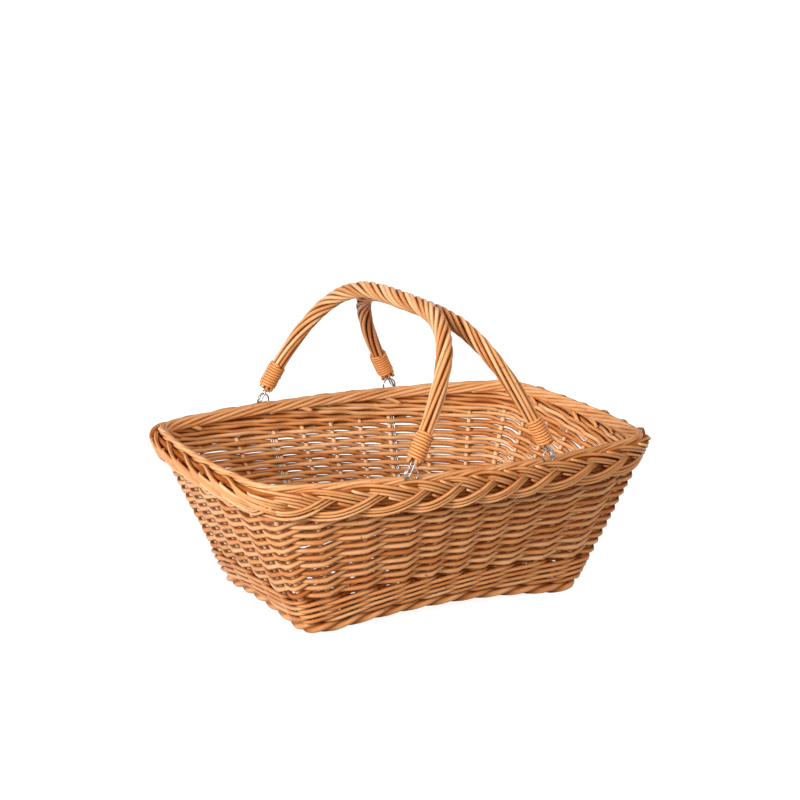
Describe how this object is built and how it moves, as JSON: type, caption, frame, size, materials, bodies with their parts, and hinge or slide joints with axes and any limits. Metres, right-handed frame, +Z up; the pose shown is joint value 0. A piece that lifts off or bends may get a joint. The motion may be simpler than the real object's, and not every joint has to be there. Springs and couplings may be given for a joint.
{
  "type": "wicker display basket",
  "caption": "Flared rectangular willow basket with a plaited rim and folding twisted-rod handles on wire hooks and eyes.",
  "frame": {"origin": "on the ground under the middle of the basket", "axes": "+Z up, +X along the basket's length to its right side, +Y to its back; the front long side faces -Y"},
  "size_m": [0.4976, 0.3856, 0.3244],
  "materials": {
    "wall_willow": "satin buff willow",
    "border_willow": "satin buff willow",
    "base_willow": "satin buff willow",
    "handle_willow": "satin buff willow",
    "binding_willow": "satin split willow",
    "steel_wire": "bright drawn wire"
  },
  "bodies": {
    "basket": {"base_stick_1": "base_willow", "base_stick_2": "base_willow", "base_stick_3": "base_willow", "base_stick_4": "base_willow", "base_stick_5": "base_willow", "base_weave": "base_willow", "foot_wale": "base_willow", "corner_post_1": "wall_willow", "corner_post_2": "wall_willow", "corner_post_3": "wall_willow", "corner_post_4": "wall_willow", "side_stake_01": "wall_willow", "side_stake_02": "wall_willow", "side_stake_03": "wall_willow", "side_stake_04": "wall_willow", "side_stake_05": "wall_willow", "side_stake_06": "wall_willow", "side_stake_07": "wall_willow", "side_stake_08": "wall_willow", "side_stake_09": "wall_willow", "side_stake_10": "wall_willow", "side_stake_11": "wall_willow", "side_stake_12": "wall_willow", "side_stake_13": "wall_willow", "side_stake_14": "wall_willow", "side_stake_15": "wall_willow", "side_stake_16": "wall_willow", "side_stake_17": "wall_willow", "side_stake_18": "wall_willow", "side_stake_19": "wall_willow", "side_stake_20": "wall_willow", "side_stake_21": "wall_willow", "side_stake_22": "wall_willow", "side_stake_23": "wall_willow", "side_stake_24": "wall_willow", "side_stake_25": "wall_willow", "side_stake_26": "wall_willow", "side_stake_27": "wall_willow", "side_stake_28": "wall_willow", "side_stake_29": "wall_willow", "upsett_wale": "wall_willow", "randing_1": "wall_willow", "randing_2": "wall_willow", "randing_3": "wall_willow", "border_plait": "border_willow", "border_rope": "border_willow", "eye_left_front": "steel_wire", "eye_left_back": "steel_wire", "eye_right_front": "steel_wire", "eye_right_back": "steel_wire"},
    "handle_left": {"handle_left": "handle_willow", "hook_left_front": "steel_wire", "hook_left_back": "steel_wire", "binding_left_front": "binding_willow", "binding_left_back": "binding_willow"},
    "handle_right": {"handle_right": "handle_willow", "hook_right_front": "steel_wire", "hook_right_back": "steel_wire", "binding_right_front": "binding_willow", "binding_right_back": "binding_willow"}
  },
  "joints": [
    {"name": "handle_left_fold", "type": "hinge", "parent": "basket", "child": "handle_left", "pos_m": [-0.08329, 0, 0.17296], "axis": [0, -1, 0], "range_deg": [0, 96]},
    {"name": "handle_right_fold", "type": "hinge", "parent": "basket", "child": "handle_right", "pos_m": [0.08329, 0, 0.17296], "axis": [0, 1, 0], "range_deg": [0, 96]}
  ]
}
